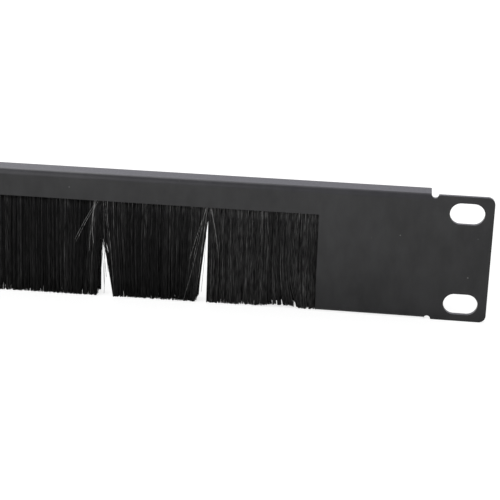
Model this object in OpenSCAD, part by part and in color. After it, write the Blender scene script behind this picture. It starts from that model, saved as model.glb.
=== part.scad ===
// Brush strip panel for a 19 inch rack, one unit high.
//
// A folded steel sheet carries a strip brush behind its top band. The brush hangs down over a long
// window that is open at the bottom, so that cables can be laid in from below and pass between the
// bristles. The brush's channel is drilled, pushed onto studs that are welded to the back of the band,
// and held there by a washer and a nut on each stud.
//
// The origin is at the centre of the four rack slots, on the back of the ears, which is the face that
// lies against the rack's rails. +X runs along the panel, -Y points out of the front, +Z is up.

/* [Panel] */
// Width of the panel over both ears
panel_w = 482.6; // [478:0.1:540]
// Height of the panel, one rack unit less its clearance
panel_h = 43.7; // [42:0.1:60]
// Thickness of the steel sheet
sheet_t = 1.5; // [1.2:0.1:1.8]
// Radius of the ears' outer corners
corner_r = 2.4; // [0.5:0.1:4]

/* [Rack slots] */
// Distance from a slot's centre to the ear's outer edge
slot_edge_x = 8.75; // [7.5:0.05:11]
// Distance from a slot's centre to the panel's upper or lower edge
slot_edge_z = 5.975; // [5:0.025:8]
// Length of a slot from end to end
slot_len = 11.5; // [8:0.1:13]
// Width of a slot
slot_w = 7.3; // [5:0.1:7.8]

/* [Flanges] */
// Distance from the front face to the flanges' rear edges
flange_depth = 8.5; // [8.3:0.1:20]
// Radius inside the folds
bend_r = 0.5; // [0.3:0.1:1]
// Width of an ear, from its outer edge to the flanges' ends
ear_w = 20.8; // [18:0.1:40]
// Radius of the round reliefs beside the flanges' outer ends
relief_r = 1.2; // [0.6:0.1:1.8]
// Radius of the flanges' rear corners
flange_corner_r = 0.6; // [0.2:0.1:2]

/* [Window] */
// Width of the closed sheet between the window and the flanges' ends
side_w = 36.75; // [20:0.25:100]
// How far the band above the window reaches below the brush's channel
lip_cover = 0.55; // [0.1:0.05:3]

/* [Brush channel] */
// Depth of the brush's channel, front to back
channel_w = 3.9; // [3.6:0.1:4]
// Thickness of the channel's steel
channel_t = 0.5; // [0.3:0.05:0.6]
// Clearance between the channel and the top flange
top_gap = 0.4; // [0.1:0.05:1]
// Clearance between the strip brush and each side of the window
end_gap = 0.1; // [0.1:0.05:2]
// Height of channel wall left below the stud holes
lip_land = 0.8; // [0.5:0.1:2]
// Number of crimps between one stud and the next
crimps_per_bay = 6; // [2:1:8]
// Radius of the tool that presses the crimps
crimp_r = 0.6; // [0.4:0.05:1]
// Depth of a crimp
crimp_depth = 0.2; // [0.1:0.05:0.25]

/* [Bristles] */
// Diameter of the wire that the bristles are folded over
wire_d = 1.2; // [0.8:0.1:1.6]
// Height of the bristle tips above the panel's lower edge
tip_gap = 0.1; // [0.1:0.05:20]
// How far the tips spread forward of the channel's inner face, along the middle of the brush
flare_front = 3.1; // [0.5:0.1:4]
// The same near the ends of the brush
flare_front_end = 1.4; // [0.5:0.1:4]
// Number of sections, from end to end, over which the forward spread changes
flare_bays = 24; // [4:2:40]
// How far the tips spread behind the channel's inner face
flare_back = 1.6; // [0.5:0.1:3]
// Width of a lock of bristles
lock_w = 1; // [0.8:0.1:4]
// Depth of the grooves between locks
lock_depth = 0.3; // [0.1:0.05:0.5]
// Largest difference in length between locks
tip_scatter = 0.4; // [0.1:0.05:1.5]

/* [Partings] */
// Places along the brush where the tips stand apart, from the panel's middle
parting_x = [110.5, 144, 177]; // [-180:0.5:180]
// Widths of those partings at the tips
parting_w = [6, 4, 0.8]; // [0.2:0.1:10]
// Heights of those partings above the tips
parting_h = [22, 32, 11]; // [2:0.5:32]
// How far the top of each parting lies to the right of its foot
parting_lean = [-1.5, 2, -3]; // [-10:0.5:10]

/* [Fixings] */
// Number of studs along the band
stud_n = 6; // [2:1:10]
// Diameter of the studs' thread
stud_d = 3; // [2:0.5:3]
// How far a stud stands out of its nut
stud_reach = 0.2; // [0.1:0.1:4]
// Distance from each end of the strip brush to the nearest stud
stud_inset = 8.5; // [5:0.5:40]
// Clearance round the studs in the channel, in radius
stud_gap = 0.2; // [0.1:0.05:0.3]
// Clearance between a thread and the bore over it, in radius
thread_gap = 0.05; // [0.02:0.01:0.1]
// Outer diameter of a washer
washer_d = 6; // [5.5:0.1:6.4]
// Thickness of a washer
washer_t = 0.5; // [0.3:0.1:0.8]
// Width of a nut across its flats
nut_af = 5.5; // [5:0.1:5.7]
// Height of a nut
nut_h = 2.4; // [1.8:0.1:2.4]

/* [Hidden] */
$fn = 48;

// The sheet's front is at y = -sheet_t and its back at y = 0.
top_z = panel_h / 2;
slot_x = panel_w / 2 - slot_edge_x;
slot_z = top_z - slot_edge_z;
fold_r = bend_r + sheet_t;
fold_z = top_z - fold_r;
flange_back_y = flange_depth - sheet_t;
flange_span = panel_w - 2 * ear_w;
window_w = flange_span - 2 * side_w;

// The strip brush lies against the back of the band, under the top flange.
strip_len = window_w - 2 * end_gap;
channel_top_z = top_z - sheet_t - top_gap;
root_w = channel_w - 2 * channel_t;
root_y = channel_w / 2;
wire_z = channel_top_z - channel_t - root_w / 2;
stud_z = wire_z - wire_d / 2 - stud_gap - stud_d / 2;
lip_z = stud_z - stud_d / 2 - stud_gap - lip_land;
window_z = lip_z - lip_cover;

// The curtain of bristles hangs from the lip to the tips, in a whole number of locks for each bay.
tip_z = -top_z + tip_gap;
curtain_h = lip_z - tip_z;
bay_locks = 2 * max(1, round(strip_len / lock_w / flare_bays / 2));
lock_n = bay_locks * flare_bays;
lock_pitch = strip_len / lock_n;
curtain_core = 0.3;
over = 1;

stud_len = channel_w + washer_t + nut_h + stud_reach;
stud_pitch = (strip_len - 2 * stud_inset) / (stud_n - 1);
crimp_pitch = stud_pitch / crimps_per_bay;

// A repeatable scatter from 0 to 1 for the i-th place along the brush
function scatter(i, seed) = abs(sin(i * 127.1 + seed * 311.7) * 43.7) % 1;
function stud_x(i) = -strip_len / 2 + stud_inset + (i - 1) * stud_pitch;

// The forward spread at a place along the brush: full as far as 40% of the way from the middle to an
// end, and from there in a line down to the ends' spread at 90% of the way
function bay_flare(x) =
    let (share = min(1, max(0, (abs(x) / (strip_len / 2) - 0.4) / 0.5)))
    flare_front + (flare_front_end - flare_front) * share;

// Carries a drawing in x and z, as linear_extrude makes it, from the sheet's back to its front
module through_sheet() {
    rotate([90, 0, 0]) linear_extrude(sheet_t) children();
}

// Carries a drawing in y and z along x, centred on the panel
module along_panel(length) {
    translate([-length / 2, 0, 0]) rotate([90, 0, 90]) linear_extrude(length) children();
}

module rounded_rectangle(width, height, r) {
    square([width - 2 * r, height], center = true);
    square([width, height - 2 * r], center = true);
    for (x = [-1, 1], z = [-1, 1])
        translate([x * (width / 2 - r), z * (height / 2 - r)]) circle(r);
}

module rack_slot() {
    square([slot_len - slot_w, slot_w], center = true);
    for (x = [-1, 1])
        translate([x * (slot_len - slot_w) / 2, 0]) circle(d = slot_w);
}

// The flat of the sheet between the folds, with its ears, slots, reliefs and window
module face_outline() {
    difference() {
        rounded_rectangle(panel_w, panel_h, corner_r);
        for (x = [-1, 1], z = [-1, 1]) {
            translate([x * slot_x, z * slot_z]) rack_slot();
            translate([x * (flange_span / 2 + relief_r), z * top_z]) circle(relief_r);
            translate([-flange_span / 2, z > 0 ? fold_z : -top_z - over])
                square([flange_span, fold_r + over]);
        }
        translate([-window_w / 2, -top_z - over]) square([window_w, window_z + top_z + over]);
    }
}

// A quarter turn of sheet from the face to a flange, with a short flat at each end
module fold_outline() {
    translate([bend_r, fold_z]) difference() {
        circle(fold_r);
        circle(bend_r);
        translate([0, -fold_r - over]) square(2 * (fold_r + over));
        translate([-fold_r - over, -2 * fold_r]) square([2 * (fold_r + over), 2 * fold_r]);
    }
}

// A flange's flat leg, with its two rear corners rounded
module flange_leg(length) {
    leg = flange_back_y - bend_r;
    translate([0, bend_r, top_z - sheet_t]) linear_extrude(sheet_t) {
        translate([-length / 2, 0]) square([length, leg - flange_corner_r]);
        translate([-length / 2 + flange_corner_r, 0]) square([length - 2 * flange_corner_r, leg]);
        for (x = [-1, 1])
            translate([x * (length / 2 - flange_corner_r), leg - flange_corner_r])
                circle(flange_corner_r);
    }
}

module flange(length) {
    along_panel(length) fold_outline();
    flange_leg(length);
}

// The folded sheet: one piece from ear to ear
module front_panel() {
    color("#333436") {
        through_sheet() face_outline();
        flange(flange_span);
        for (x = [-1, 1])
            translate([x * (window_w + side_w) / 2, 0, 0])
                mirror([0, 0, 1]) flange(side_w);
    }
}

// A channel's cross-section: straight walls under a half-round fold
module channel_outline(half_w) {
    translate([root_y, wire_z]) circle(half_w);
    translate([root_y - half_w, lip_z]) square([2 * half_w, wire_z - lip_z]);
}

module stud_holes(depth, gap) {
    for (i = [1:stud_n])
        translate([stud_x(i), depth + over, stud_z]) rotate([90, 0, 0])
            cylinder(h = depth + 2 * over, d = stud_d + 2 * gap);
}

// The presses' marks across the channel's back wall, which grip the bristles on the wire
module crimps() {
    for (bay = [1:stud_n - 1], k = [1:crimps_per_bay])
        translate([stud_x(bay) + (k - 0.5) * crimp_pitch, channel_w + crimp_r - crimp_depth, lip_z - over])
            cylinder(h = wire_z - lip_z + over, r = crimp_r);
}

// The rolled steel channel that the bristles and their wire are crimped into
module brush_channel() {
    color("#8d9092") difference() {
        along_panel(strip_len) difference() {
            channel_outline(channel_w / 2);
            channel_outline(root_w / 2);
            translate([channel_t, lip_z - over]) square([root_w, 2 * over]);
        }
        stud_holes(channel_w, stud_gap);
        crimps();
    }
}

module core_wire() {
    color("#a5a7a8") along_panel(strip_len) translate([root_y, wire_z]) circle(d = wire_d);
}

// A run of locks drawn from above, from the first to the last: a flat inner side and a ridged outer
// side. The outer side lies on y = 0, with the grooves between the locks behind it.
module lock_row(first, last, thickness, seed) {
    ridge = [for (i = [first:last])
        [-strip_len / 2 + i * lock_pitch, i % 2 == 0 ? lock_depth * (0.4 + 0.6 * scatter(i, seed)) : 0]];
    polygon(concat(ridge, [[ridge[last - first].x, thickness], [ridge[0].x, thickness]]));
}

// A run of locks on one side of the curtain, hung from the lip, with its tips out by the flare
module leaning_locks(first, last, flare, seed) {
    rotate([-atan(flare / curtain_h), 0, 0]) translate([0, 0, -curtain_h - over])
        linear_extrude(curtain_h + over) lock_row(first, last, root_w - curtain_core, seed);
}

// The curtain's front, in bays that lean further out towards the middle of the brush
module front_locks() {
    for (bay = [0:flare_bays - 1])
        leaning_locks(bay * bay_locks, (bay + 1) * bay_locks,
            bay_flare(((bay + 0.5) / flare_bays - 0.5) * strip_len), 1);
}

// The wedges of air at the partings, drawn in x and z
module partings() {
    for (i = [0:len(parting_x) - 1])
        polygon([
            [parting_x[i] - parting_w[i] / 2, tip_z - over],
            [parting_x[i] + parting_w[i] / 2, tip_z - over],
            [parting_x[i] + parting_lean[i], tip_z + parting_h[i]]
        ]);
}

// The uneven line of the tips, drawn in x and z with everything above it
module tip_outline() {
    tips = [for (i = [0:lock_n - 1])
        [-strip_len / 2 + (i + 0.5) * lock_pitch, tip_z + tip_scatter * scatter(i, 5)]];
    polygon(concat([[-strip_len / 2, tip_z + tip_scatter]], tips,
        [[strip_len / 2, tip_z + tip_scatter], [strip_len / 2, lip_z], [-strip_len / 2, lip_z]]));
}

// The bristles: a root folded over the wire, and a curtain that spreads below the channel's lip
module bristles() {
    color("#1b1b1c") difference() {
        union() {
            along_panel(strip_len) channel_outline(root_w / 2);
            intersection() {
                union() {
                    translate([0, channel_t, lip_z]) front_locks();
                    translate([0, channel_w - channel_t, lip_z]) mirror([0, 1, 0])
                        leaning_locks(0, lock_n, flare_back, 2);
                    translate([-strip_len / 2, channel_t + curtain_core, tip_z])
                        cube([strip_len, root_w - 2 * curtain_core, curtain_h]);
                }
                translate([0, channel_w + flare_back + over, 0]) rotate([90, 0, 0])
                    linear_extrude(channel_w + flare_front + flare_back + 2 * over)
                        difference() {
                            tip_outline();
                            partings();
                        }
            }
        }
        along_panel(strip_len + 2 * over) translate([root_y, wire_z]) circle(d = wire_d);
        stud_holes(channel_w, stud_gap);
    }
}

module weld_stud(i) {
    chamfer = stud_d / 8;
    color("#b4b6b8") translate([stud_x(i), 0, stud_z]) rotate([-90, 0, 0]) {
        cylinder(h = stud_len - chamfer, d = stud_d);
        translate([0, 0, stud_len - chamfer]) cylinder(h = chamfer, d1 = stud_d, d2 = stud_d - 2 * chamfer);
    }
}

module washer(i) {
    color("#bcbec0") translate([stud_x(i), channel_w, stud_z]) rotate([-90, 0, 0]) difference() {
        cylinder(h = washer_t, d = washer_d);
        translate([0, 0, -over]) cylinder(h = washer_t + 2 * over, d = stud_d + 4 * thread_gap);
    }
}

// A hexagon nut with flats up and down, its corners turned off by cones at both ends
module hex_nut(i) {
    corner_d = nut_af / cos(30);
    chamfer = (corner_d - nut_af) / 2 * tan(30);
    color("#c2c4c6") translate([stud_x(i), channel_w + washer_t, stud_z]) rotate([-90, 0, 0]) difference() {
        intersection() {
            cylinder(h = nut_h, d = corner_d, $fn = 6);
            union() {
                cylinder(h = chamfer, d1 = nut_af, d2 = corner_d);
                translate([0, 0, chamfer]) cylinder(h = nut_h - 2 * chamfer, d = corner_d);
                translate([0, 0, nut_h - chamfer]) cylinder(h = chamfer, d1 = corner_d, d2 = nut_af);
            }
        }
        translate([0, 0, -over]) cylinder(h = nut_h + 2 * over, d = stud_d + 2 * thread_gap);
    }
}

front_panel();
brush_channel();
core_wire();
bristles();
for (i = [1:stud_n]) {
    weld_stud(i);
    washer(i);
    hex_nut(i);
}
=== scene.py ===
"""Looks of a one-unit rack panel with a strip brush: coated sheet, bristles, channel and fixings.

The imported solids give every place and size. The sheet, the rolled channel, the washers and the nuts are
copies of their solids with the edges rounded, as coating and rolling leave them. The bristles are drawn one
by one as thin rods, and the studs get their thread. All lengths below are in metres unless a name says mm.
"""

import logging
import math
from dataclasses import dataclass, field
from enum import Enum

import bmesh
import bpy
import numpy as np
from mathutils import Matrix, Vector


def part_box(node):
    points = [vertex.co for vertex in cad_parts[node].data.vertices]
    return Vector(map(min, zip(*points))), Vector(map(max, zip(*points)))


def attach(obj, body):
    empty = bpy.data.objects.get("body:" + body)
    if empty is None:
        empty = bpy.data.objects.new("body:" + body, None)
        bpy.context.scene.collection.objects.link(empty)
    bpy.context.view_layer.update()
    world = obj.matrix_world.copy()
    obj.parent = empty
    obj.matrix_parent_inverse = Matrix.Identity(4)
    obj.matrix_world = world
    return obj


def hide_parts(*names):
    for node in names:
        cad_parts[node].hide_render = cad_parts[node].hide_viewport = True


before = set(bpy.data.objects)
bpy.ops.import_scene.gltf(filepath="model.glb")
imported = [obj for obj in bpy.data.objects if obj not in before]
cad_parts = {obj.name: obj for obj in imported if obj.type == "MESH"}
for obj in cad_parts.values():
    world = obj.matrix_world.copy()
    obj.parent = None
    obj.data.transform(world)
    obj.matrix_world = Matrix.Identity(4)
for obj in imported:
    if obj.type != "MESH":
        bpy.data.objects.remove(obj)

MM = 0.001
LOG = logging.getLogger("brush_panel")
WELD = 0.001 * MM
FLAT_DEGREES = 0.5
SHARP_DEGREES = 35.0

Triple = tuple[float, float, float]
Pair = tuple[float, float]
Socket = bpy.types.NodeSocket
Chance = np.random.Generator


# ---------------------------------------------------------------------------------------------------------
# Small helpers on meshes


def box_of(node: str) -> tuple[np.ndarray, np.ndarray]:
    """Gives a node's box.

    Args:
        node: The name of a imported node.

    Returns:
        Its lowest and its highest corner, as arrays.
    """
    low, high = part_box(node)
    return np.array(low), np.array(high)


def object_from(name: str, data: bpy.types.ID) -> bpy.types.Object:
    """Links a mesh, a lamp or a camera into the scene.

    Args:
        name: The object's name.
        data: The mesh, lamp or camera.

    Returns:
        The object, at the origin.
    """
    thing = bpy.data.objects.new(name, data)
    bpy.context.scene.collection.objects.link(thing)
    return thing


def mesh_from(
    name: str, points: np.ndarray, quads: np.ndarray, caps: np.ndarray | None = None
) -> bpy.types.Mesh:
    """Makes a mesh from whole arrays.

    Args:
        name: The mesh's name.
        points: Corner points, one row each.
        quads: Four point numbers a row.
        caps: Further faces, all with the same number of corners, one row each.

    Returns:
        The mesh, with smooth faces.
    """
    mesh = bpy.data.meshes.new(name)
    parts = [quads] if caps is None else [quads, caps]
    corners = np.concatenate([part.ravel() for part in parts]).astype(np.int32)
    counts = np.concatenate([np.full(len(part), part.shape[1], np.int32) for part in parts])
    starts = np.concatenate([[0], np.cumsum(counts)[:-1]]).astype(np.int32)
    mesh.vertices.add(len(points))
    mesh.vertices.foreach_set("co", points.astype(np.float32).ravel())
    mesh.loops.add(len(corners))
    mesh.loops.foreach_set("vertex_index", corners)
    mesh.polygons.add(len(counts))
    mesh.polygons.foreach_set("loop_start", starts)
    mesh.polygons.foreach_set("loop_total", counts)
    mesh.polygons.foreach_set("use_smooth", np.ones(len(counts), bool))
    mesh.update(calc_edges=True)
    mesh.validate()
    return mesh


def welded_copy(node: str, name: str) -> bpy.types.Object:
    """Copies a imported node's mesh, merges its doubled points and clears the lines inside its flat faces.

    Points count as doubled within WELD, and faces as one flat face up to a bend of FLAT_DEGREES.

    Args:
        node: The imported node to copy.
        name: The new piece's name.

    Returns:
        The copy, as an object of its own.
    """
    work = bmesh.new()
    work.from_mesh(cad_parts[node].data)
    bmesh.ops.remove_doubles(work, verts=work.verts, dist=WELD)
    bend = math.radians(FLAT_DEGREES)
    bmesh.ops.dissolve_limit(
        work, angle_limit=bend, verts=work.verts, edges=work.edges, delimit={"NORMAL"}
    )
    mesh = bpy.data.meshes.new(name)
    work.to_mesh(mesh)
    work.free()
    return object_from(name, mesh)


def round_edges(piece: bpy.types.Object, radius: float, rings: int = 2) -> None:
    """Rounds a piece's sharp edges and shades the rest smooth, with its flat faces kept flat.

    An edge counts as sharp where its faces meet at more than SHARP_DEGREES.

    Args:
        piece: The piece to finish.
        radius: Radius of the rounding.
        rings: Number of faces across the rounding.
    """
    piece.data.polygons.foreach_set("use_smooth", np.ones(len(piece.data.polygons), bool))
    bevel = piece.modifiers.new("rounded_edges", "BEVEL")
    bevel.width = radius
    bevel.segments = rings
    bevel.limit_method = "ANGLE"
    bevel.angle_limit = math.radians(SHARP_DEGREES)
    bevel.use_clamp_overlap = True
    flats = piece.modifiers.new("flat_faces", "WEIGHTED_NORMAL")
    flats.mode = "FACE_AREA"
    flats.weight = 100


def coat_with(piece: bpy.types.Object, material: bpy.types.Material) -> None:
    """Gives a new piece its one material.

    Args:
        piece: The piece.
        material: The material.
    """
    piece.data.materials.clear()
    piece.data.materials.append(material)


def dress(node: bpy.types.Object, material: bpy.types.Material) -> None:
    """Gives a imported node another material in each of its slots."""
    for slot in node.material_slots:
        slot.material = material


# ---------------------------------------------------------------------------------------------------------
# Finishes


class Links:
    """A short way to add and join the nodes of one material."""

    def __init__(self, name: str) -> None:
        """Starts a material with one surface shader.

        Args:
            name: The material's name.
        """
        self.material = bpy.data.materials.new(name)
        self.material.use_nodes = True
        self.tree = self.material.node_tree
        self.shader = self.tree.nodes["Principled BSDF"]
        self.place = self.tree.nodes.new("ShaderNodeTexCoord").outputs["Object"]

    def add(self, kind: str, **values: object) -> bpy.types.Node:
        """Adds a node.

        Args:
            kind: The node's type, without its ShaderNode prefix.
            values: Properties to set, or sockets where the name is one of an input.

        Returns:
            The new node.
        """
        node = self.tree.nodes.new("ShaderNode" + kind)
        for name, value in values.items():
            if name in node.inputs:
                node.inputs[name].default_value = value
            else:
                setattr(node, name, value)
        return node

    def join(self, start: Socket, end: Socket) -> None:
        """Joins two sockets."""
        self.tree.links.new(start, end)

    def noise(self, scale: float, detail: float = 2.0, stretch: Triple = (1, 1, 1)) -> Socket:
        """Adds a cloudy pattern.

        Args:
            scale: Cells for each metre.
            detail: Octaves of the noise.
            stretch: Factor on the place along each axis.

        Returns:
            The pattern's value, from 0 to 1.
        """
        mapping = self.add("Mapping")
        mapping.inputs["Scale"].default_value = stretch
        self.join(self.place, mapping.inputs["Vector"])
        node = self.add("TexNoise", Scale=scale, Detail=detail)
        self.join(mapping.outputs["Vector"], node.inputs["Vector"])
        return node.outputs["Fac"]

    def mean(self, first: Socket, second: Socket) -> Socket:
        """Gives the mean of two values.

        Args:
            first: One value.
            second: The other.

        Returns:
            Half their sum.
        """
        total = self.add("Math", operation="ADD")
        self.join(first, total.inputs[0])
        self.join(second, total.inputs[1])
        return self.times(total.outputs[0], 0.5)

    def times(self, source: Socket, factor: Socket | float) -> Socket:
        """Multiplies a value by a number or by another value.

        Args:
            source: The value.
            factor: The number or the other value.

        Returns:
            The product.
        """
        node = self.add("Math", operation="MULTIPLY")
        self.join(source, node.inputs[0])
        if isinstance(factor, float):
            node.inputs[1].default_value = factor
        else:
            self.join(factor, node.inputs[1])
        return node.outputs[0]

    def streaks(self, width: float, length: float, slant: float) -> Socket:
        """Adds a pattern of long, upright streaks.

        The pattern is cloudy noise read at x plus the slant times z across, and at z along, which is
        drawn out by length over width.

        Args:
            width: Size of the pattern's cells along the panel.
            length: Size of its cells upwards.
            slant: How far a streak runs sideways for each unit of height.

        Returns:
            The pattern's value, from 0 to 1.
        """
        place = self.add("SeparateXYZ")
        self.join(self.place, place.inputs[0])
        across = self.add("Math", operation="MULTIPLY_ADD")
        self.join(place.outputs["Z"], across.inputs[0])
        across.inputs[1].default_value = slant
        self.join(place.outputs["X"], across.inputs[2])
        point = self.add("CombineXYZ")
        self.join(across.outputs[0], point.inputs["X"])
        self.join(self.times(place.outputs["Z"], width / length), point.inputs["Z"])
        node = self.add("TexNoise", Scale=1 / width, Detail=2.0)
        self.join(point.outputs[0], node.inputs["Vector"])
        return node.outputs["Fac"]

    def specks(self, scale: float, size: float) -> Socket:
        """Scatters small round specks, one in each cell of a chance pattern, and hides most of them.

        A speck is full up to two fifths of its radius and fades in a line to its rim. It shows only where
        a cloudy pattern, about five times as wide, is over 0.60 to 0.66.

        Args:
            scale: Cells for each metre.
            size: Radius of a speck, as a share of a cell.

        Returns:
            1 on a speck and 0 off it, with a soft rim.
        """
        cells = self.add("TexVoronoi", Scale=scale, feature="F1")
        self.join(self.place, cells.inputs["Vector"])
        near = self.spread(cells.outputs["Distance"], (1.0, 0.0), (size * 0.4, size))
        kept = self.spread(self.noise(scale * 0.21, 1), (0.0, 1.0), (0.60, 0.66))
        return self.times(near, kept)

    def spread(self, source: Socket, to: Pair, start: Pair = (0.3, 0.7)) -> Socket:
        """Carries a value from one range to another.

        Args:
            source: The value to carry.
            to: Results at the source's lower and upper end.
            start: Lower and upper end of the source.

        Returns:
            The carried value.
        """
        node = self.add("MapRange")
        node.inputs["From Min"].default_value, node.inputs["From Max"].default_value = start
        node.inputs["To Min"].default_value, node.inputs["To Max"].default_value = to
        self.join(source, node.inputs["Value"])
        return node.outputs["Result"]

    def blend(self, factor: Socket, low: Triple | Socket, high: Triple) -> Socket:
        """Mixes two colours by a value.

        Args:
            factor: The share of the second colour.
            low: The first colour, plain or worked out.
            high: The second colour.

        Returns:
            The mixed colour.
        """
        node = self.add("Mix", data_type="RGBA")
        self.join(factor, node.inputs[0])
        under, top = [socket for socket in node.inputs if socket.type == "RGBA"]
        if isinstance(low, tuple):
            under.default_value = (*low, 1.0)
        else:
            self.join(low, under)
        top.default_value = (*high, 1.0)
        return next(out for out in node.outputs if out.type == "RGBA")

    def bump(self, height: Socket, distance: float, under: Socket | None = None) -> Socket:
        """Turns a height into a bent normal.

        Args:
            height: The height, from 0 to 1.
            distance: Height of the relief at 1.
            under: Normal of the coarser relief below, if there is one.

        Returns:
            The normal.
        """
        node = self.add("Bump", Strength=1.0, Distance=distance)
        self.join(height, node.inputs["Height"])
        if under is not None:
            self.join(under, node.inputs["Normal"])
        return node.outputs["Normal"]

    def give(self, **sources: Socket) -> None:
        """Joins worked-out values to the shader's sockets, with _ for a blank in a name."""
        for name, source in sources.items():
            self.join(source, self.shader.inputs[name.replace("_", " ")])

    def set(self, **values: object) -> None:
        """Sets uniform values on the shader's own sockets, with _ for a blank in a name."""
        for name, value in values.items():
            self.shader.inputs[name.replace("_", " ")].default_value = value


@dataclass(frozen=True)
class PowderCoat:
    """Black satin powder coat with a fine orange peel.

    Attributes:
        dark: Colour of the coat.
        pale: Colour where the coat is a little thin or has been wiped.
        dust: Colour of the dust that lies on it in single specks.
        patches: Cells for each metre of the wide pale patches.
        mottle: Cells for each metre of the small ones, which are drawn out upwards.
        worn_at: Range of the patches' pattern over which the coat goes from dark to pale.
        specks: Cells for each metre of the pattern that the specks come from.
        speck: Radius of a speck, as a share of a cell.
        rough: Least and greatest roughness.
        gloss: Specular level.
        blotch: Cells of the roughness's pattern in one of the peel's.
        grain_mm: Size of the peel's cells.
        relief_mm: Height of the peel.
        fine: Cells of the finer peel in one of the peel's, and its height as a share of the peel's.
    """

    dark: Triple = (0.0033, 0.0033, 0.0037)
    pale: Triple = (0.0128, 0.0128, 0.0136)
    dust: Triple = (0.0900, 0.0900, 0.0880)
    patches: float = 45.0
    mottle: float = 260.0
    worn_at: Pair = (0.38, 0.62)
    specks: float = 300.0
    speck: float = 0.10
    rough: Pair = (0.30, 0.38)
    gloss: float = 0.43
    blotch: float = 0.8
    grain_mm: float = 0.55
    relief_mm: float = 0.012
    fine: Pair = (3.1, 0.3)

    def material(self, name: str) -> bpy.types.Material:
        """Builds the coat's material.

        Args:
            name: The material's name.

        Returns:
            The material.
        """
        mat = Links(name)
        cells, relief = 1 / (self.grain_mm * MM), self.relief_mm * MM
        worn = mat.mean(mat.noise(self.patches, 4), mat.noise(self.mottle, 6, (1, 1, 0.5)))
        coat = mat.blend(mat.spread(worn, (0, 1), self.worn_at), self.dark, self.pale)
        peel = mat.bump(mat.noise(cells, 2), relief)
        mat.give(
            Base_Color=mat.blend(mat.specks(self.specks, self.speck), coat, self.dust),
            Roughness=mat.spread(mat.noise(cells * self.blotch, 2), self.rough),
            Normal=mat.bump(mat.noise(cells * self.fine[0], 1), relief * self.fine[1], peel),
        )
        mat.set(Specular_IOR_Level=self.gloss)
        return mat.material


@dataclass(frozen=True)
class Nylon:
    """Black nylon of the bristles, each a little paler or darker than its neighbours.

    Attributes:
        dark: Colour of a clean bristle.
        pale: Colour at a tone of 1, which only the palest strays come near.
        band_fill: How many times paler the bristles are painted right under the band, as painted light
            against the band's shadow.
        band_fill_mm: Where that begins and where it is full, below the channel's mouth.
        streak_mm: Width of the pale and dark streaks that neighbouring bristles share. The second
            pattern's are a tenth narrower, so that the two never fall into step.
        streak_long: Length of the streaks of each of the two patterns, in widths.
        slant: How far they run sideways for each unit of height, in each pattern.
        streak_at: Range of the two patterns' mean that counts.
        uneven: Least and greatest factor of the streaks on the tone.
        gloss: Specular level.
        rough: Roughness of black bristles and of those at a tone of 0.2 and more.
    """

    dark: Triple = (0.0006, 0.0006, 0.0006)
    pale: Triple = (0.3000, 0.2980, 0.2960)
    band_fill: float = 3.6
    band_fill_mm: Pair = (4.5, 0.5)
    streak_mm: float = 0.30
    streak_long: Pair = (14.0, 10.0)
    slant: Pair = (0.05, -0.04)
    streak_at: Pair = (0.40, 0.60)
    uneven: Pair = (0.1, 1.9)
    gloss: float = 0.14
    rough: Pair = (0.45, 0.30)

    def material(self, name: str, mouth: float) -> bpy.types.Material:
        """Builds the bristles' material, which reads the tone that each bristle carries.

        Args:
            name: The material's name.
            mouth: Height of the channel's mouth.

        Returns:
            The material.
        """
        mat = Links(name)
        place = mat.add("SeparateXYZ")
        mat.join(mat.place, place.inputs[0])
        # Painted light: the bristles right under the band are made paler against the band's shadow.
        fill_span = (mouth - self.band_fill_mm[0] * MM, mouth - self.band_fill_mm[1] * MM)
        band_fill = mat.spread(place.outputs["Z"], (1.0, self.band_fill), fill_span)
        width = self.streak_mm * MM
        streaks = mat.mean(
            mat.streaks(width, width * self.streak_long[0], self.slant[0]),
            mat.streaks(width * 0.9, width * self.streak_long[1], self.slant[1]),
        )
        uneven = mat.times(mat.spread(streaks, self.uneven, self.streak_at), band_fill)
        tone = mat.times(mat.add("Attribute", attribute_name="tone").outputs["Fac"], uneven)
        mat.give(
            Base_Color=mat.blend(tone, self.dark, self.pale),
            Roughness=mat.spread(tone, self.rough, (0.0, 0.2)),
        )
        mat.set(Specular_IOR_Level=self.gloss)
        return mat.material


class Plate(Enum):
    """The bare and plated metals: colour, colour of its clouds, and roughness."""

    GALVANISED = ((0.42, 0.43, 0.44), (0.55, 0.56, 0.57), 0.42)
    ZINC = ((0.55, 0.56, 0.58), (0.66, 0.66, 0.67), 0.28)
    WIRE = ((0.40, 0.40, 0.40), (0.52, 0.52, 0.52), 0.35)
    COPPERED = ((0.52, 0.36, 0.25), (0.62, 0.47, 0.34), 0.33)


@dataclass(frozen=True)
class Metal:
    """A metal with soft clouds in its plating and fine scratches along the panel.

    Attributes:
        plate: Which metal it is.
        cloud_mm: Size of the clouds.
        scratches: Scratches for each metre across them.
        scratch_mm: Depth of a scratch.
        uneven: How far they take the roughness down and up.
    """

    plate: Plate
    cloud_mm: float = 3.0
    scratches: float = 2500.0
    scratch_mm: float = 0.004
    uneven: Pair = (0.06, 0.10)

    def material(self, name: str) -> bpy.types.Material:
        """Builds the metal's material.

        Args:
            name: The material's name.

        Returns:
            The material.
        """
        low, high, rough = self.plate.value
        mat = Links(name)
        mat.set(Metallic=1.0)
        clouds = mat.noise(1 / (self.cloud_mm * MM), 3)
        scratches = mat.noise(self.scratches, 2, (0.08, 1, 1))
        mat.give(
            Base_Color=mat.blend(mat.spread(clouds, (0, 1)), low, high),
            Roughness=mat.spread(scratches, (rough - self.uneven[0], rough + self.uneven[1])),
            Normal=mat.bump(scratches, self.scratch_mm * MM),
        )
        return mat.material


# ---------------------------------------------------------------------------------------------------------
# The folded sheet


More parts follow.
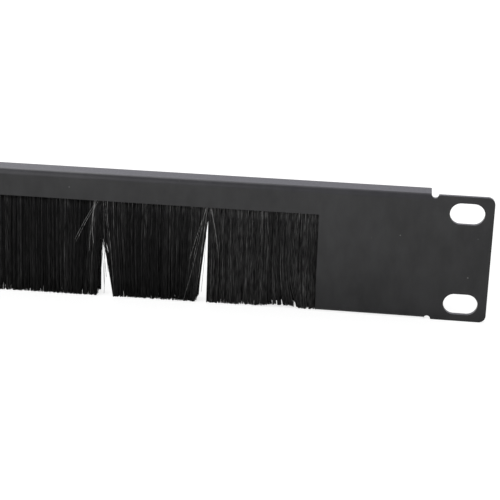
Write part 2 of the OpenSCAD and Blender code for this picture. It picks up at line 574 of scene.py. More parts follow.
@dataclass
class FoldedSheet:
    """The panel itself: one coated sheet from ear to ear.

    Attributes:
        edge: Radius that the coat leaves on the sheet's cut edges.
        coat: The finish.
    """

    edge: float = 0.22 * MM
    coat: PowderCoat = field(default_factory=PowderCoat)

    def build(self) -> list[bpy.types.Object]:
        """Builds the sheet with rounded edges.

        Returns:
            Its one piece.
        """
        sheet = welded_copy("front_panel", "coated_sheet")
        round_edges(sheet, self.edge, 3)
        coat_with(sheet, self.coat.material("black_powder_coat"))
        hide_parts("front_panel")
        return [sheet]


# ---------------------------------------------------------------------------------------------------------
# The strip brush


@dataclass(frozen=True)
class Parting:
    """A wedge where the bristles stand apart.

    Attributes:
        foot_mm: Place of its middle at the tips, from the panel's middle.
        top_mm: Place of its top.
        width_mm: Width at the tips.
        height_mm: Height above the tips.
        reach_mm: How far to the sides the bristles lean away.
        belly: Power of the half width's fall: 1 gives straight sides, less gives bowed ones.
    """

    foot_mm: float
    top_mm: float
    width_mm: float
    height_mm: float
    reach_mm: float
    belly: float = 1.0

    def push(self, x: np.ndarray, root: np.ndarray, rise: np.ndarray) -> np.ndarray:
        """Moves bristles aside.

        The wedge's middle runs in a line from its foot to its top, and its half width falls to nothing
        at the top. A bristle that starts on one side of the top stays on that side: it is moved by the
        half width, less the more it stands away, by a falling exponential over the reach.

        Args:
            x: Places along the panel, one for each bristle and height.
            root: Places of the same bristles at the channel.
            rise: Heights above the tips of the same points.

        Returns:
            The new places along the panel.
        """
        share = np.clip(1 - rise / (self.height_mm * MM), 0, 1)
        lean = (self.foot_mm - self.top_mm) * MM * share
        half = self.width_mm * MM / 2 * share**self.belly
        away = root - self.top_mm * MM
        side = np.where(away < 0, -1.0, 1.0)
        fade = np.exp(-np.abs(away) / (self.reach_mm * MM))
        return x + fade * (lean + side * half)


@dataclass(frozen=True)
class Stray:
    """One bristle that lies across its neighbours, in millimetres from the panel's middle.

    Attributes:
        root_mm: Where it leaves the channel.
        tip_mm: Where its tip is.
        drop_mm: How far its tip is below the channel.
        bow_mm: How far its middle bends sideways.
        tone: How pale it is, from 0 for black to 1.
    """

    root_mm: float
    tip_mm: float
    drop_mm: float
    bow_mm: float = 0.0
    tone: float = 0.6


PARTINGS = (
    Parting(foot_mm=110.5, top_mm=109.0, width_mm=6.0, height_mm=22.0, reach_mm=6.0, belly=0.75),
    Parting(foot_mm=144.0, top_mm=146.0, width_mm=4.0, height_mm=32.0, reach_mm=5.0),
    Parting(foot_mm=177.0, top_mm=174.0, width_mm=1.0, height_mm=12.0, reach_mm=4.5),
)

LEFT_OF_WIDE_PARTING = (
    Stray(108.7, 99.8, 15.2, -0.4),
    Stray(109.3, 100.3, 15.9, -0.5, 0.5),
    Stray(107.7, 106.4, 16.2, -1.1, 0.7),
    Stray(107.2, 104.9, 19.0, -0.5, 0.4),
    Stray(106.4, 105.4, 13.0, 0.4, 0.35),
)
ACROSS_WIDE_PARTING = (
    Stray(108.3, 112.3, 23.5, 0.3, 0.05),
    Stray(108.0, 111.6, 26.0, 0.2, 0.1),
    Stray(108.6, 111.0, 28.0, -0.2, 0.0),
    Stray(107.9, 110.3, 31.5, 0.2, 0.05),
    Stray(109.9, 108.9, 29.5, 0.3, 0.1),
    Stray(109.5, 110.2, 33.8, 0.5, 0.15),
    Stray(110.0, 113.6, 34.5, 0.6, 0.5),
    Stray(109.2, 112.9, 21.0, 0.1, 0.3),
)
BESIDE_NARROW_PARTING = (
    Stray(146.3, 140.1, 19.4, -0.3, 0.55),
    Stray(145.9, 141.0, 21.5, -0.4, 0.4),
    Stray(145.5, 138.1, 34.6, 0.6, 0.45),
    Stray(146.2, 149.6, 16.9, 0.5, 0.5),
    Stray(146.6, 150.1, 18.8, 0.4, 0.35),
    Stray(146.0, 143.3, 26.0, -0.2, 0.5),
    Stray(145.8, 144.3, 31.0, 0.3, 0.15),
)
STRAYS = LEFT_OF_WIDE_PARTING + ACROSS_WIDE_PARTING + BESIDE_NARROW_PARTING


@dataclass(frozen=True)
class Cut:
    """How the strip was cut along its tips.

    Attributes:
        gap: Height of the longest tips above the panel's lower edge.
        wave: Half height of each of the two slow waves in the cut.
        bends: Length of one radian of each wave along the panel.
        group: Width of the groups of bristles that were cut at one height.
        blur: How far the groups reach into each other, in widths.
        ragged: Mean height of a group above the line of the cut.
        even: How alike the groups' heights are.
        most: Greatest height of a group above it.
        short: Mean amount by which a bristle falls short of its group.
        stubs: Share of the bristles that are clearly short.
        stub: Least and most that they are short.
        rise: Height of the shallow rise next to the strip's right-hand end.
        rise_at: Place of its middle and half its width.
        rough_at: Places from the panel's middle between which the cut gets rougher.
        rough: Share of the roughness before and after them.
    """

    gap: float = 0.02 * MM
    wave: float = 0.03 * MM
    bends: Pair = (9.0 * MM, 3.1 * MM)
    group: float = 0.4 * MM
    blur: float = 0.25
    ragged: float = 0.2 * MM
    even: float = 0.9
    most: float = 0.8 * MM
    short: float = 0.06 * MM
    stubs: float = 0.03
    stub: Pair = (0.3 * MM, 1.6 * MM)
    rise: float = 0.7 * MM
    rise_at: Pair = (170.5 * MM, 4.6 * MM)
    rough_at: Pair = (100 * MM, 165 * MM)
    rough: Pair = (0.4, 1.0)

    def heights(self, rng: Chance, x: np.ndarray, ends: Pair) -> np.ndarray:
        """Works out where each bristle is cut off.

        The cut's line lies the gap above the panel's lower edge. Added to it, at their share for the
        place, are two sine waves, a step for each group by a gamma law that is held under the most, a
        shortfall for each bristle by another, and a larger, even one for the stubs. Last comes the rise,
        a flat-topped bell.

        Args:
            rng: The source of chance.
            x: Places of the roots along the panel.
            ends: Places of the strip's two ends.

        Returns:
            The height of each tip above the panel's lower edge.
        """
        n = len(x)
        wave = self.wave * (2 + np.sin(x / self.bends[0] + 1.0) + np.sin(x / self.bends[1]))
        groups = int((ends[1] - ends[0]) / self.group) + 2
        steps = rng.gamma(self.even, self.ragged / self.even, groups)
        group = (x - ends[0]) / self.group + rng.normal(0, self.blur, n)
        step = np.minimum(steps, self.most)[group.clip(0).astype(int)]
        short = rng.gamma(1.0, self.short, n)
        short = short + (rng.random(n) < self.stubs) * rng.uniform(*self.stub, n)
        rise = self.rise * np.exp(-(((x - self.rise_at[0]) / self.rise_at[1]) ** 4))
        rough = np.interp(np.abs(x), self.rough_at, self.rough)
        return self.gap + (wave + step + short) * rough + rise


@dataclass(frozen=True)
class DustAndShade:
    """How pale the bristles are, from 0 for black to 1 for the nylon's pale colour, painted shade and light
    included.

    Attributes:
        mean: Mean tone of the outer bristles.
        deep: Share of it that the bristles inside the strip have, as painted shade between the bristles.
        inner_shade_at: Depths, from 0 to 1, between which that painted shade gives way to the outer ones'
            tone.
        even: How alike the strands are.
        own_even: How alike the single bristles are.
        far_at: Places from the panel's middle between which the tone goes over to that of the ends.
        far: Factor on the tone before and after them, so that the middle is darker than the ends, as painted
            shade for the cables' dark reflection.
        contrast: Factor on the strands' differences before and after them.
        glint: How much a tone rises and falls along a bristle, as painted glints.
        turns: Fewest and most turns in which it does so.
        cable_stretch: Middle and half width of the stretch, on each side of the panel, that carries the
            cables' painted shadow.
        stretch_lift_and_shade: How much paler that stretch is at the channel, and how much darker at the
            tips, as painted shadow of the cables.
        tip_light: How much paler the bristles are painted towards the cut tips, as painted light against the
            shade near the table top.
    """

    mean: float = 0.0365
    deep: float = 0.15
    inner_shade_at: Pair = (0.6, 0.9)
    even: float = 6.0
    own_even: float = 8.0
    far_at: Pair = (138 * MM, 152 * MM)
    far: Pair = (0.78, 2.3)
    contrast: Pair = (1.45, 0.6)
    glint: float = 0.5
    turns: Pair = (0.5, 3.0)
    cable_stretch: Pair = (127 * MM, 19 * MM)
    stretch_lift_and_shade: Pair = (1.3, 0.7)
    tip_light: float = 0.022

    def tones(
        self, rng: Chance, x: np.ndarray, depth: np.ndarray, strand: np.ndarray, below: np.ndarray
    ) -> np.ndarray:
        """Works out how pale each bristle is along its length.

        The tone is a chance amount of the bristle's own times one that it shares with its strand, both
        by gamma laws, times a factor for its place and one for its depth, both painted shade: darker
        along the strip's middle than at its ends, for the cables' dark reflection, and darker inside the
        strip, for the shade between the bristles. The shared one's difference from 1 is first taken times
        the contrast. The tone swells and fades along the bristle with a sine, as painted glints, whose
        start and number of turns the strand shares. In the stretch with the cables' painted shadow, a
        flat-topped bell, it rises in a line up the upper half and falls in a line down the lower one. Last
        comes the painted light on the tips, against the shade near the table top, which grows with the
        cube of the way down.

        Args:
            rng: The source of chance.
            x: Places of the roots along the panel.
            depth: Depth of each bristle, from -1 at the front to 1 at the back.
            strand: Number of each bristle's strand.
            below: Share of the way from the lip to the tip, for each bristle and point.

        Returns:
            The tones, from 0 to 1, for each bristle and point.
        """
        away = np.abs(x)
        strands = strand.max() + 1
        shared = rng.gamma(self.even, 1 / self.even, strands)[strand]
        shared = np.clip(1 + (shared - 1) * np.interp(away, self.far_at, self.contrast), 0.1, None)
        # Painted shade: the strip's middle is darker than its ends, for the cables' dark reflection.
        place = np.interp(away, self.far_at, self.far)
        # Painted shade: the bristles inside the strip are darker than the outer ones.
        place = place * np.interp(np.abs(depth), self.inner_shade_at, (self.deep, 1))
        own = rng.gamma(self.own_even, self.mean / self.own_even, len(x)) * shared * place
        # Painted glints: the tone rises and falls along each bristle.
        start, pace = rng.uniform(0, 1, (2, strands))[:, strand, None]
        turn = start + below * (self.turns[0] + (self.turns[1] - self.turns[0]) * pace)
        swell = 1 + self.glint * np.sin(2 * np.pi * turn)
        # Painted shadow of the cables on the lower half of the stretch; its upper half is made paler.
        in_stretch = np.exp(-(((away - self.cable_stretch[0]) / self.cable_stretch[1]) ** 4))[:, None]
        upper, lower = np.clip(1 - 2 * below, 0, 1), np.clip(2 * below - 1, 0, 1)
        swell = swell * (1 + in_stretch * (self.stretch_lift_and_shade[0] * upper - self.stretch_lift_and_shade[1] * lower))
        # Painted light: paler towards the tips, against the shade near the table top.
        return np.clip(own[:, None] * swell + self.tip_light * below**3, 0, 1)


@dataclass
class StripBrush:
    """The strip brush: bristles folded over a wire and crimped into a rolled channel.

    A bristle's depth goes from -1 at the front to 1 at the back. The foremost bristles cling together in
    narrow strands, in two sheets one in front of the other, each with its own strands. The others hang
    loose and close the gaps behind them.

    Attributes:
        count: Number of bristle ends along the strip.
        thick: Diameter of a bristle.
        rings: Points along a bristle.
        sides: Corners of a bristle's section.
        corner: How far these stand out, in radii, so that the rod looks as thick as a round one.
        taper: Thickness at the tip, as a share of that at the root.
        scatter: How far a root stands off its even place along the panel.
        outward: Power that gathers the bristles at the front and the back, under 1.
        strand: Mean width of a strand.
        strand_even: How alike the strands' widths are.
        packed: Share of its width that a strand's bristles fill.
        reopen: Share of its way into the strand that a bristle has moved back at its tip.
        sheet: Depth between the two sheets.
        cling: Depths between which the strands come to an end.
        apart: How far the tips of a strand lean along the panel, strand by strand.
        lean: How far neighbouring strands' tips lean alike.
        wave: Distance over which that changes along the panel.
        curve: How far neighbouring strands are bent alike, as a share of that lean.
        layers: Rows of locks from front to back.
        lock: Mean width of a lock, a looser group in which the strands lean together.
        lock_even: How alike the locks' widths are.
        lock_lean: How far the tips of a lock lean.
        gather: Greatest share by which they draw together.
        own_lean: How far a single tip leans besides.
        loose_lean: How much further a loose one does.
        own_bow: How far a single bristle is bent.
        own_flutter: How far a tip inside the strip stands off its place in depth.
        stiff: Power of the way down with which a lean grows.
        spread_front: How far the front row's tips stand out in front of the channel's inner face, along
            the middle of the strip.
        spread_end: The same near the strip's ends.
        fan_at: Where the one goes over into the other, as shares of the way from middle to end.
        spread_back: The same behind the channel.
        end_slack: How far the tips may stand out past the strip's ends.
        calm: Distance from the strip's ends over which the leaning sets in.
        calm_parting: Distance from a parting's top within which it is less, and by what share.
        mouth: How far up inside the channel the drawn bristles start.
        roots_cut: How far above the channel's lip the copy of their roots begins.
        wall: Thickness of the channel's sheet.
        edge: Radius of the channel's edges.
        clear: Least distance of a middle line from the curtain's front and back, in thicknesses.
        stray_tone: Factor on the strays' tones.
        stray_thick: Diameter of a stray.
        stray_off: How far a stray's tip stands out in front of the other bristles.
        runs: Number of pieces that the bristles are shared among.
        seed: Start of the chance numbers.
        cut: How the tips were cut.
        dust: How pale the bristles are, painted shade and light included.
    """

    count: int = 29000
    thick: float = 0.15 * MM
    rings: int = 6
    sides: int = 3
    corner: float = 1.12
    taper: float = 0.92
    scatter: float = 0.25 * MM
    outward: float = 0.34
    strand: float = 0.38 * MM
    strand_even: float = 8.0
    packed: float = 0.5
    reopen: float = 0.7
    sheet: float = -0.88
    cling: Pair = (-0.75, -0.6)
    apart: float = 0.16 * MM
    lean: float = 0.32 * MM
    wave: float = 4.5 * MM
    curve: float = 0.6
    layers: int = 5
    lock: float = 1.6 * MM
    lock_even: float = 3.0
    lock_lean: float = 0.08 * MM
    gather: float = 0.05
    own_lean: float = 0.12 * MM
    loose_lean: float = 0.6 * MM
    own_bow: float = 0.05 * MM
    own_flutter: float = 0.4 * MM
    stiff: float = 1.15
    spread_front: float = 3.1 * MM
    spread_end: float = 1.45 * MM
    fan_at: Pair = (0.4, 0.9)
    spread_back: float = 1.6 * MM
    end_slack: float = 0.24 * MM
    calm: float = 3.0 * MM
    calm_parting: Pair = (2.0 * MM, 0.75)
    mouth: float = 0.8 * MM
    roots_cut: float = 0.3 * MM
    wall: float = 0.5 * MM
    edge: float = 0.08 * MM
    clear: float = 0.6
    stray_tone: float = 1.15
    stray_thick: float = 0.14 * MM
    stray_off: float = 0.35 * MM
    runs: int = 5
    seed: int = 7
    cut: Cut = field(default_factory=Cut)
    dust: DustAndShade = field(default_factory=DustAndShade)

    def __post_init__(self) -> None:
        """Reads the strip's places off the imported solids."""
        low, high = box_of("brush_channel")
        self.left, self.right, self.lip = low[0], high[0], low[2]
        self.half_depth = (high[1] - low[1]) / 2 - self.wall
        wire_low, wire_high = box_of("core_wire")
        self.middle = (wire_low[1] + wire_high[1]) / 2
        front, back = box_of("bristles")
        self.tip_front, self.tip_back = front[1], back[1]
        self.floor = box_of("front_panel")[0][2]

    def strands(
        self, rng: Chance, x: np.ndarray, depth: np.ndarray
    ) -> tuple[np.ndarray, np.ndarray, int]:
        """Shares the bristles out among strands.

        Each of the two sheets is divided along the panel into strands whose widths follow a gamma law.
        There are more of them than the strip needs, and those past its end stay empty.

        Args:
            rng: The source of chance.
            x: Places of the roots along the panel.
            depth: Depth of each bristle.

        Returns:
            The number of each bristle's strand, the place of that strand's middle, and how many there are.
        """
        most = int(1.4 * (self.right - self.left) / self.strand)
        widths = rng.gamma(self.strand_even, self.strand / self.strand_even, (2, most))
        edges = self.left + np.cumsum(widths, 1)
        sheet = (depth > self.sheet).astype(int)
        number = np.where(sheet, most + np.searchsorted(edges[1], x), np.searchsorted(edges[0], x))
        return number, (edges - widths / 2).ravel()[number], 2 * most

    def locks(self, rng: Chance, x: np.ndarray, depth: np.ndarray) -> np.ndarray:
        """Gathers the bristles' tips into locks.

        The strip is divided into rows of depth, and each row into locks whose widths follow a gamma law.
        A lock's tips draw towards its middle by a chance share and lean together by a chance amount.

        Args:
            rng: The source of chance.
            x: Places of the roots along the panel.
            depth: Depth of each bristle.

        Returns:
            How far each tip moves along the panel.
        """
        row = np.clip(((depth + 1) / 2 * self.layers).astype(int), 0, self.layers - 1)
        moved = np.zeros_like(x)
        most = int(3 * (self.right - self.left) / self.lock)
        for layer in range(self.layers):
            widths = rng.gamma(self.lock_even, self.lock / self.lock_even, most)
            edges = self.left + np.cumsum(widths)
            middles = edges - np.diff(edges, prepend=self.left) / 2
            gather = rng.uniform(0.0, self.gather, most)
            lean = rng.normal(0, self.lock_lean, most)
            mine = row == layer
            lock = np.searchsorted(edges, x[mine])
            moved[mine] = gather[lock] * (middles[lock] - x[mine]) + lean[lock]
        return moved

    def centre_lines(self, rng: Chance) -> tuple[np.ndarray, np.ndarray]:
        """Works out the middle line of every bristle.

        The roots stand evenly along the strip, each off its place by chance, and most of them near its
        front or back, where they are seen. The clinging ones are drawn towards their strand's middle.
        With t from 0 at the lip to 1 at the tip, a bristle moves along the panel by its lean times t to
        the power stiff, and by its bow times the sine of half a turn of t. Its lean is the sum of its
        lock's, its neighbours', its strand's and its own, less a share of the way that it was drawn. Its
        bow is the sum of its neighbours' and its own. What neighbours share is worked out from chance
        values at even places, joined by lines. The partings then push the bristle aside.

        Args:
            rng: The source of chance.

        Returns:
            The points, bristle by bristle, and the tone of each point from 0 to 1.
        """
        n = self.count
        x = np.linspace(self.left, self.right, n) + rng.normal(0, self.scatter, n)
        x = np.clip(x, self.left + self.thick / 2, self.right - self.thick / 2)
        depth = np.sign(rng.uniform(-1, 1, n)) * rng.random(n) ** self.outward
        strand, middle, strands = self.strands(rng, x, depth)
        loose = np.interp(depth, self.cling, (0, 1))
        drawn = (middle - x) * (1 - self.packed) * (1 - loose) * self.freedom(x)
        x = x + drawn
        tip = self.floor + self.cut.heights(rng, x, (self.left, self.right))
        knots = np.arange(self.left - self.wave, self.right + 2 * self.wave, self.wave)
        drift, curve = (np.interp(x, knots, rng.normal(0, self.lean, len(knots))) for _ in range(2))
        together = rng.normal(0, self.apart, strands)[strand]
        alone = rng.normal(0, 1, n) * (self.own_lean + self.loose_lean * loose)
        lean = self.locks(rng, x, depth) * (1 - loose) + drift + together + alone
        lean = lean * self.freedom(x) - self.reopen * drawn
        bow = (curve * self.curve + rng.normal(0, self.own_bow, n)) * self.freedom(x)
        t = np.linspace(0, 1, self.rings)[None, :]
        z = (self.lip + self.mouth) * (1 - t) + tip[:, None] * t
        below = np.clip((self.lip - z) / (self.lip - tip[:, None]), 0, 1)
        along = x[:, None] + lean[:, None] * below**self.stiff + bow[:, None] * np.sin(np.pi * below)
        for parting in PARTINGS:
            along = parting.push(along, x[:, None], z - self.floor - self.cut.gap)
        slack = self.end_slack * below
        along = np.clip(along, self.left + self.thick / 2 - slack, self.right - self.thick / 2 + slack)
        lines = np.stack([along, self.depths(rng, x, depth, below), z], -1)
        return lines, self.dust.tones(rng, x, depth, strand, below)

    def depths(self, rng: Chance, x: np.ndarray, depth: np.ndarray, below: np.ndarray) -> np.ndarray:
        """Works out how far to the front or the back each point lies.

        At the lip the bristles fill the channel. From there each moves out in a line by its depth's
        share of the spread, and the ones inside the strip also by a chance amount. None comes closer to
        the curtain's front and back than the clear distance.

        Args:
            rng: The source of chance.
            x: Places of the roots along the panel.
            depth: Depth of each bristle.
            below: Share of the way from the lip to the tip, for each bristle and point.

        Returns:
            The places from front to back, for each bristle and point.
        """
        spread = np.where(depth < 0, self.fan(x), self.spread_back) * depth
        flutter = rng.normal(0, self.own_flutter, len(x)) * (1 - np.abs(depth))
        root = self.middle + depth[:, None] * (self.half_depth - self.thick / 2)
        y = root + (spread + flutter)[:, None] * below
        room = self.clear * self.thick
        return np.clip(y, self.tip_front + room, self.tip_back - room)

    def fan(self, x: np.ndarray) -> np.ndarray:
        """Says how far the front tips stand out: in full along the middle, and in a line less to the ends.

        Args:
            x: Places along the panel.

        Returns:
            The spread to the front at each.
        """
        share = np.abs(x) / ((self.right - self.left) / 2)
        return np.interp(share, self.fan_at, (self.spread_front, self.spread_end))

    def freedom(self, x: np.ndarray) -> np.ndarray:
        """Says how freely a bristle may lean: less next to the strip's ends and next to the partings.

        Args:
            x: Places of the roots along the panel.

        Returns:
            A factor from 0 to 1 for each.
        """
        free = np.clip(np.minimum(x - self.left, self.right - x) / self.calm, 0, 1)
        reach, share = self.calm_parting
        for parting in PARTINGS:
            free = free * (1 - share * np.exp(-(((x - parting.top_mm * MM) / reach) ** 2)))
        return free

    def stray_lines(self) -> tuple[np.ndarray, np.ndarray]:
        """Works out the middle lines of the strays.

        A stray's place along the panel goes in a line from root to tip, plus a bow of a half sine wave.
        In depth it lies a little in front of the foremost bristles all the way down.

        Returns:
            The points, stray by stray, and the tone of each point.
        """
        t = np.linspace(0, 1, self.rings)[None, :]
        said = np.array([[s.root_mm, s.tip_mm, s.drop_mm, s.bow_mm] for s in STRAYS]) * MM
        tone = np.array([[s.tone] for s in STRAYS]) * self.stray_tone
        root, tip, drop, bow = (said[:, k : k + 1] for k in range(4))
        x = root + (tip - root) * t + bow * np.sin(np.pi * t)
        z = self.lip + self.mouth - (drop + self.mouth) * t
        below = np.clip((self.lip - z) / (self.lip - self.floor), 0, 1)
        front = self.middle - self.half_depth + self.thick - self.fan(x) * below
        y = np.maximum(front - self.stray_off * np.sqrt(below), self.tip_front + self.thick)
        return np.stack([x, y, z], -1), tone * np.ones_like(x)

    def rods(
        self, name: str, lines: np.ndarray, tones: np.ndarray, rng: Chance, thick: float
    ) -> bpy.types.Object:
        """Draws thin closed rods along middle lines.

        Round each point stands a ring of corners in a level plane, at the bristle's radius, turned by a
        chance angle. Neighbouring rings are joined by quads, and each end is closed by one face.

        Args:
            name: The piece's name.
            lines: The points, bristle by bristle.
            tones: The tone at each of the points.
            rng: The source of chance.
            thick: Diameter of a rod.

        Returns:
            The piece.
        """
        n, m, k = len(lines), self.rings, self.sides
        here = np.arange(k)[None, None, :]
        angle = rng.uniform(0, 2 * np.pi, (n, 1, 1)) + here * 2 * np.pi / k
        radius = thick / 2 * self.corner * np.linspace(1.0, self.taper, m)[None, :, None]
        ring = np.stack([np.cos(angle) * radius, np.sin(angle) * radius, np.zeros_like(angle * radius)], -1)
        points = (lines[:, :, None, :] + ring).reshape(-1, 3)
        first = (np.arange(n)[:, None, None] * m + np.arange(m - 1)[None, :, None]) * k
        there = (here + 1) % k
        quads = np.stack([first + here, first + k + here, first + k + there, first + there], -1)
        base = np.arange(n)[:, None] * m * k
        top = base + np.arange(k)[None, :]
        end = base + (m - 1) * k + np.arange(k)[None, ::-1]
        mesh = mesh_from(name, points, quads.reshape(-1, 4), np.concatenate([top, end]))
        carried = np.repeat(tones.ravel(), k).astype(np.float32)
        mesh.attributes.new("tone", "FLOAT", "POINT").data.foreach_set("value", carried)
        return object_from(name, mesh)

    def roots(self) -> bpy.types.Object:
        """Copies the upper part of the bristles' solid, where they are folded over the wire in the channel.

        Returns:
            The piece, closed at its cut.
        """
        piece = welded_copy("bristles", "bristle_roots")
        work = bmesh.new()
        work.from_mesh(piece.data)
        cut = bmesh.ops.bisect_plane(
            work, geom=work.verts[:] + work.edges[:] + work.faces[:],
            plane_co=(0, 0, self.lip + self.roots_cut), plane_no=(0, 0, -1), clear_outer=True,
        )
        rim = [item for item in cut["geom_cut"] if isinstance(item, bmesh.types.BMEdge)]
        bmesh.ops.holes_fill(work, edges=rim)
        work.to_mesh(piece.data)
        work.free()
        return piece

    def build(self) -> list[bpy.types.Object]:
        """Builds the bristles and the channel, and gives the wire its material.

        Returns:
            The new pieces.
        """
        rng = np.random.default_rng(self.seed)
        nylon = Nylon().material("black_nylon", self.lip)
        lines, tones = self.centre_lines(rng)
        share = np.minimum(np.arange(self.count) * self.runs // self.count, self.runs - 1)
        pieces = [
            self.rods(f"bristles_run_{run + 1}", lines[share == run], tones[share == run], rng, self.thick)
            for run in range(self.runs)
        ]
        pieces.append(self.rods("stray_bristles", *self.stray_lines(), rng, self.stray_thick))
        pieces.append(self.roots())
        for piece in pieces:
            coat_with(piece, nylon)
            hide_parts("bristles")
        channel = welded_copy("brush_channel", "rolled_channel")
        round_edges(channel, self.edge)
        coat_with(channel, Metal(Plate.GALVANISED, 4.0).material("galvanised_steel"))
        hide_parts("brush_channel")
        dress(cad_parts["core_wire"], Metal(Plate.WIRE).material("drawn_wire"))
        return [*pieces, channel]


# ---------------------------------------------------------------------------------------------------------
# The fixings


@dataclass
class Fixings:
    """The welded studs with their washers and nuts.

    Attributes:
        pitch: Pitch of the thread.
        thread: Depth of the thread.
        turn: Points round the stud.
        step: Points along each turn of thread.
        run_in: How far from its end the thread starts to be less deep, in pitches.
        edge: Radius of the edges of washers and nuts.
    """

    pitch: float = 0.5 * MM
    thread: float = 0.29 * MM
    turn: int = 32
    step: int = 6
    run_in: float = 0.6
    edge: float = 0.06 * MM

    def stud(self, node: str) -> bpy.types.Object:
        """Draws a stud with its thread.

        With a the angle and h the height, the radius is the outer radius less the thread's depth times
        the distance of h / pitch - a / a full turn from the nearest whole number, doubled and taken
        from 1. The last part of the stud runs in to a chamfer, and both ends are closed.

        Args:
            node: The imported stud.

        Returns:
            The threaded stud.
        """
        low, high = box_of(node)
        outer = (high[0] - low[0]) / 2
        height = high[1] - low[1]
        rows = int(height / self.pitch * self.step) + 1
        h = np.linspace(0, height, rows)[:, None]
        a = np.linspace(0, 2 * np.pi, self.turn, endpoint=False)[None, :]
        phase = h / self.pitch - a / (2 * np.pi)
        groove = 2 * np.abs(phase - np.round(phase))
        deep = np.clip((height - h) / self.pitch + 1 - self.run_in, 0, 1)
        radius = outer - self.thread * (1 - groove) * deep
        radius = np.minimum(radius, outer - np.clip(h - height + outer / 4, 0, None))
        x, z = (low[0] + high[0]) / 2 + radius * np.cos(a), (low[2] + high[2]) / 2 - radius * np.sin(a)
        points = np.stack([x, low[1] + h + 0 * a, z], -1).reshape(-1, 3)
        row, col = np.arange(rows - 1)[:, None] * self.turn, np.arange(self.turn)[None, :]
        after = (col + 1) % self.turn
        quads = np.stack([row + col, row + after, row + self.turn + after, row + self.turn + col], -1)
        caps = np.stack([np.arange(self.turn)[::-1], (rows - 1) * self.turn + np.arange(self.turn)])
        mesh = mesh_from(node + "_threaded", points, quads.reshape(-1, 4), caps)
        return object_from(node + "_threaded", mesh)

    def build(self) -> list[bpy.types.Object]:
        """Builds the studs, washers and nuts.

        Returns:
            Their pieces.
        """
        copper = Metal(Plate.COPPERED).material("coppered_stud")
        zinc = Metal(Plate.ZINC, 1.5).material("zinc_plate")
        pieces = []
        for node in sorted(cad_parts):
            if node.startswith("weld_stud"):
                piece = self.stud(node)
                coat_with(piece, copper)
            elif node.startswith(("washer", "hex_nut")):
                piece = welded_copy(node, node + "_plated")
                round_edges(piece, self.edge)
                coat_with(piece, zinc)
            else:
                continue
            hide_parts(node)
            pieces.append(piece)
        return pieces


# ---------------------------------------------------------------------------------------------------------
# The studio


@dataclass(frozen=True)
class Softbox:
    """A soft square lamp that faces the panel.

    Attributes:
        name: The lamp's name.
        place: Where it stands.
        width: Its width and height.
        power: Its power in watts.
    """

    name: str
    place: Triple
    width: float
    power: float

    def build(self) -> None:
        """Adds the lamp to the scene, turned so that it looks at the origin."""
        data = bpy.data.lights.new(self.name, "AREA")
        data.shape = "SQUARE"
        data.size = self.width
        data.energy = self.power
        ahead = -np.array(self.place) / np.linalg.norm(self.place)
        side = np.cross(ahead, (0.0, 0.0, 1.0))
        side /= np.linalg.norm(side)
        lamp = object_from(self.name, data)
        lamp.matrix_world = matrix_of(side, np.cross(side, ahead), -ahead, self.place)


@dataclass(frozen=True)
class FloorLamp:
    """A spotlight that hangs over the table top in front of the panel and points straight down.

    Attributes:
        place: Where it hangs.
        power: Its power in watts.
        cone: Width of its cone in degrees.
        size: Its radius.
    """

    place: Triple = (0.15, -0.25, 0.60)
    power: float = 9.5
    cone: float = 38.0
    size: float = 0.05

    def build(self) -> None:
        """Adds the lamp to the scene, so that the panel reflects the lit table and not the lamp."""
        data = bpy.data.lights.new("floor_lamp", "SPOT")
        data.energy = self.power
        data.spot_size = math.radians(self.cone)
        data.spot_blend = 1.0
        data.shadow_soft_size = self.size
        lamp = object_from("floor_lamp", data)
        lamp.location = self.place
        lamp.visible_glossy = False


def matrix_of(
    side: np.ndarray, up: np.ndarray, back: np.ndarray, place: Triple | np.ndarray
) -> list[list[float]]:
    """Builds a placing matrix.

    Args:
        side: The object's own x axis.
        up: Its y axis.
        back: Its z axis.
        place: Its place.

    Returns:
        The matrix, column by column, as Blender takes it.
    """
    matrix = np.eye(4)
    matrix[:3, 0], matrix[:3, 1], matrix[:3, 2], matrix[:3, 3] = side, up, back, place
    return matrix.T.tolist()


LAMPS = (
    Softbox("softbox_front", (-1.4, -2.0, 1.1), 2.2, 18.0),
    Softbox("softbox_top", (-1.5, -0.9, 1.9), 1.3, 15.0),
    Softbox("softbox_back", (-0.6, 0.9, 1.2), 1.2, 7.0),
    FloorLamp(),
)


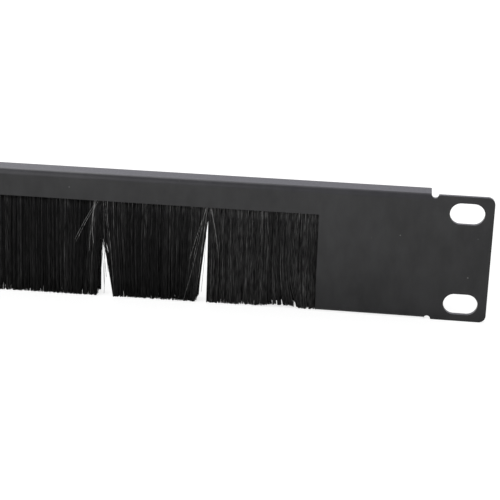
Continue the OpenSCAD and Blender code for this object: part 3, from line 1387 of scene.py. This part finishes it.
@dataclass
class Studio:
    """A white table, soft light and the camera.

    Attributes:
        eye_mm: The camera's place.
        down: How far the camera looks down, in degrees.
        left: How far it looks to the left, in degrees.
        roll: How far it is turned about its line of sight, in degrees.
        lens: Focal length for a sensor 36 mm wide.
        ambient: Strength of the surround's light.
        surround: Colour in which the surround shows and is reflected: white, a little cool.
        lift: How much plain white the camera sees on the table top.
        shade: How much of the light and shadow on the table top it sees besides.
        top: How white the table top is.
        half: Half the table's width.
        under: How far the table top is below the part.
    """

    eye_mm: Triple = (212.5, -424.6, 145.0)
    down: float = 18.96
    left: float = 6.96
    roll: float = 1.53
    lens: float = 95.7
    ambient: float = 0.64
    surround: Triple = (1.0, 0.99, 1.09)
    lift: float = 0.75
    shade: float = 0.4
    top: float = 0.9
    half: float = 6.0
    under: float = 0.01 * MM

    def camera(self) -> None:
        """Places the camera, with its axes worked out from its three angles."""
        down, left, roll = (math.radians(v) for v in (self.down, self.left, self.roll))
        ahead = np.array([-math.sin(left) * math.cos(down), math.cos(left) * math.cos(down), -math.sin(down)])
        level = np.array([math.cos(left), math.sin(left), 0.0])
        over = np.cross(level, ahead)
        right = math.cos(roll) * level + math.sin(roll) * over
        up = -math.sin(roll) * level + math.cos(roll) * over
        data = bpy.data.cameras.new("camera")
        data.lens = self.lens
        data.sensor_width = 36.0
        data.clip_start = 0.01
        data.clip_end = 100.0
        camera = object_from("camera", data)
        camera.matrix_world = matrix_of(right, up, -ahead, np.array(self.eye_mm) * MM)
        bpy.context.scene.camera = camera

    def world(self) -> None:
        """Sets a surround that lights the part in white, and shows and is reflected as its plain colour.

        The greatest of the three values that mark camera, glossy and transmission rays picks the plain
        colour, and every other ray gets the light.
        """
        world = bpy.data.worlds.new("white_studio")
        world.use_nodes = True
        tree = world.node_tree
        tree.nodes.clear()
        path = tree.nodes.new("ShaderNodeLightPath")
        seen = path.outputs["Is Camera Ray"]
        for kind in ("Is Glossy Ray", "Is Transmission Ray"):
            either = tree.nodes.new("ShaderNodeMath")
            either.operation = "MAXIMUM"
            tree.links.new(seen, either.inputs[0])
            tree.links.new(path.outputs[kind], either.inputs[1])
            seen = either.outputs[0]
        lit, plain = tree.nodes.new("ShaderNodeBackground"), tree.nodes.new("ShaderNodeBackground")
        lit.inputs["Strength"].default_value = self.ambient
        lit.inputs["Color"].default_value = (1, 1, 1, 1)
        plain.inputs["Color"].default_value = (*self.surround, 1)
        mix = tree.nodes.new("ShaderNodeMixShader")
        tree.links.new(seen, mix.inputs["Fac"])
        tree.links.new(lit.outputs[0], mix.inputs[1])
        tree.links.new(plain.outputs[0], mix.inputs[2])
        tree.links.new(mix.outputs[0], tree.nodes.new("ShaderNodeOutputWorld").inputs["Surface"])
        bpy.context.scene.world = world

    def table(self, level: float) -> None:
        """Lays a white table top under the part.

        The camera sees the lift plus the shade times the light that falls on the top. All other rays
        meet a plain white surface.

        Args:
            level: Height of the surface.
        """
        corners = np.array([[-1, -1], [1, -1], [1, 1], [-1, 1]]) * self.half
        points = np.column_stack([corners, np.full(4, level)])
        table = object_from("table", mesh_from("table", points, np.array([[0, 1, 2, 3]])))
        mat = Links("white_table")
        mat.set(Roughness=0.9, Specular_IOR_Level=0.0, Base_Color=(self.top,) * 3 + (1,))
        dim = mat.add("BsdfDiffuse", Color=(self.shade,) * 3 + (1,))
        glow, seen = mat.add("Emission", Strength=self.lift), mat.add("AddShader")
        path, mix = mat.add("LightPath"), mat.add("MixShader")
        mat.join(dim.outputs[0], seen.inputs[0])
        mat.join(glow.outputs[0], seen.inputs[1])
        mat.join(path.outputs["Is Camera Ray"], mix.inputs["Fac"])
        mat.join(mat.shader.outputs[0], mix.inputs[1])
        mat.join(seen.outputs[0], mix.inputs[2])
        mat.join(mix.outputs[0], mat.tree.nodes["Material Output"].inputs["Surface"])
        table.data.materials.append(mat.material)

    def build(self, lowest: float) -> None:
        """Sets up the camera, the surround, the lamps and the table.

        Args:
            lowest: Height of the part's lowest point.
        """
        self.camera()
        self.world()
        for lamp in LAMPS:
            lamp.build()
        self.table(lowest - self.under)
        bpy.context.scene.view_settings.view_transform = "Standard"


def main() -> None:
    """Sets the studio up, builds the part's pieces in order and logs each one's name and number of faces."""
    logging.basicConfig(level=logging.INFO, format="%(message)s")
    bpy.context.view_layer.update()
    Studio().build(box_of("front_panel")[0][2])
    for maker in (FoldedSheet(), StripBrush(), Fixings()):
        for piece in maker.build():
            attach(piece, "root")
            LOG.info("%s: %s, %d faces", type(maker).__name__, piece.name, len(piece.data.polygons))


if __name__ == "__main__":
    main()
